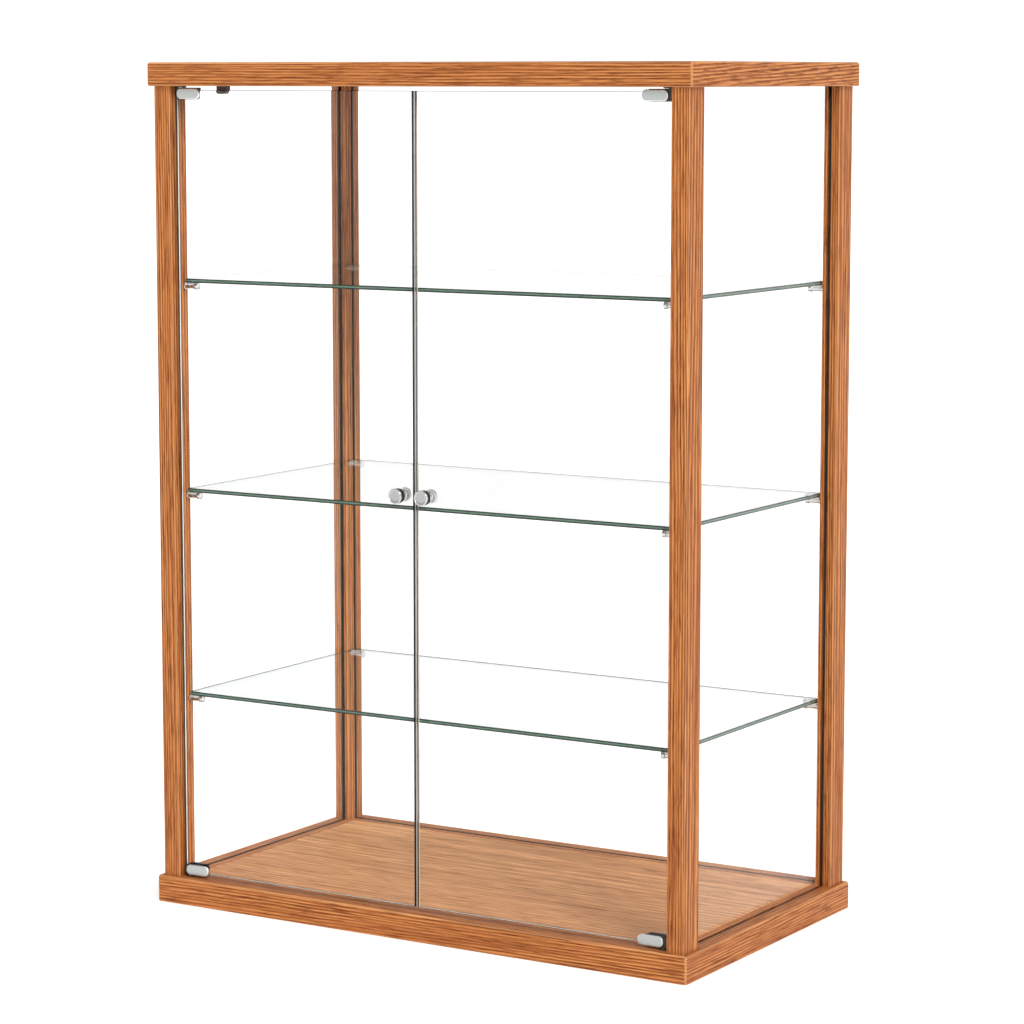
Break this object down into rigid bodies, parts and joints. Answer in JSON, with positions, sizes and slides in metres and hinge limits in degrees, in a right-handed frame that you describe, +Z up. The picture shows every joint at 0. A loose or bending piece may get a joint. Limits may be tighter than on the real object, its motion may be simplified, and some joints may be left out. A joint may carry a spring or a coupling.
{
  "type": "tabletop display case",
  "caption": "Tabletop display case with a wooden frame, glass sides and back, glass shelves on metal pins and a pair of pivoting glass doors.",
  "frame": {"origin": "centre of the base's underside, on the surface the case stands on", "axes": "+Z up; the doors and knobs face -Y; +X to the right when facing the doors"},
  "size_m": [0.606, 0.34, 0.838],
  "materials": {
    "wood": "satin",
    "wood_panel": "satin",
    "plain_wood": "matte",
    "pane_glass": "gloss",
    "shelf_glass": "gloss",
    "door_glass": "gloss",
    "black_strip": "matte",
    "brown_strip": "matte",
    "polished_chrome": "gloss",
    "satin_chrome": "satin",
    "knob_metal": "satin",
    "black_metal": "satin",
    "steel_screw": "satin",
    "rubber_pad": "matte",
    "clear_pad": "satin",
    "black_plastic": "satin",
    "dark_stop": "satin"
  },
  "bodies": {
    "case": {"base_front_rail": "wood", "base_back_rail": "wood", "base_left_rail": "wood", "base_right_rail": "wood", "top_front_rail": "wood", "top_back_rail": "wood", "top_left_rail": "wood", "top_right_rail": "wood", "floor_panel": "wood_panel", "top_panel": "wood_panel", "front_left_post": "wood", "front_right_post": "wood", "back_left_post": "wood", "back_right_post": "wood", "left_side_pane": "pane_glass", "right_side_pane": "pane_glass", "back_pane": "pane_glass", "left_glazing_strip": "black_strip", "right_glazing_strip": "black_strip", "back_glazing_strip": "brown_strip", "lower_shelf": "shelf_glass", "lower_shelf_pins": "polished_chrome", "middle_shelf": "shelf_glass", "middle_shelf_pins": "polished_chrome", "upper_shelf": "shelf_glass", "upper_shelf_pins": "polished_chrome", "shelf_pin_cushions": "clear_pad", "base_mitre_splines": "plain_wood", "top_mitre_splines": "plain_wood", "post_base_screws": "steel_screw", "post_top_dowels": "plain_wood", "door_stop": "dark_stop", "door_stop_screw": "steel_screw", "lower_pivot_bushes": "black_plastic", "upper_pivot_bushes": "black_plastic"},
    "left_door": {"left_door_glass": "door_glass", "left_lower_hinge_clamp": "black_metal", "left_upper_hinge_clamp": "black_metal", "left_lower_hinge_cover": "satin_chrome", "left_upper_hinge_cover": "satin_chrome", "left_hinge_pads": "rubber_pad", "left_hinge_screws": "steel_screw", "left_pivot_pins": "steel_screw", "left_knob": "knob_metal", "left_knob_washers": "clear_pad", "left_knob_screw": "polished_chrome"},
    "right_door": {"right_door_glass": "door_glass", "right_lower_hinge_clamp": "black_metal", "right_upper_hinge_clamp": "black_metal", "right_lower_hinge_cover": "satin_chrome", "right_upper_hinge_cover": "satin_chrome", "right_hinge_pads": "rubber_pad", "right_hinge_screws": "steel_screw", "right_pivot_pins": "steel_screw", "right_knob": "knob_metal", "right_knob_washers": "clear_pad", "right_knob_screw": "polished_chrome"}
  },
  "joints": [
    {"name": "left_door_hinge", "type": "hinge", "parent": "case", "child": "left_door", "pos_m": [-0.2715, -0.1555, 0.421], "axis": [0, 0, -1], "range_deg": [0, 95]},
    {"name": "right_door_hinge", "type": "hinge", "parent": "case", "child": "right_door", "pos_m": [0.2715, -0.1555, 0.421], "axis": [0, 0, 1], "range_deg": [0, 95]}
  ]
}
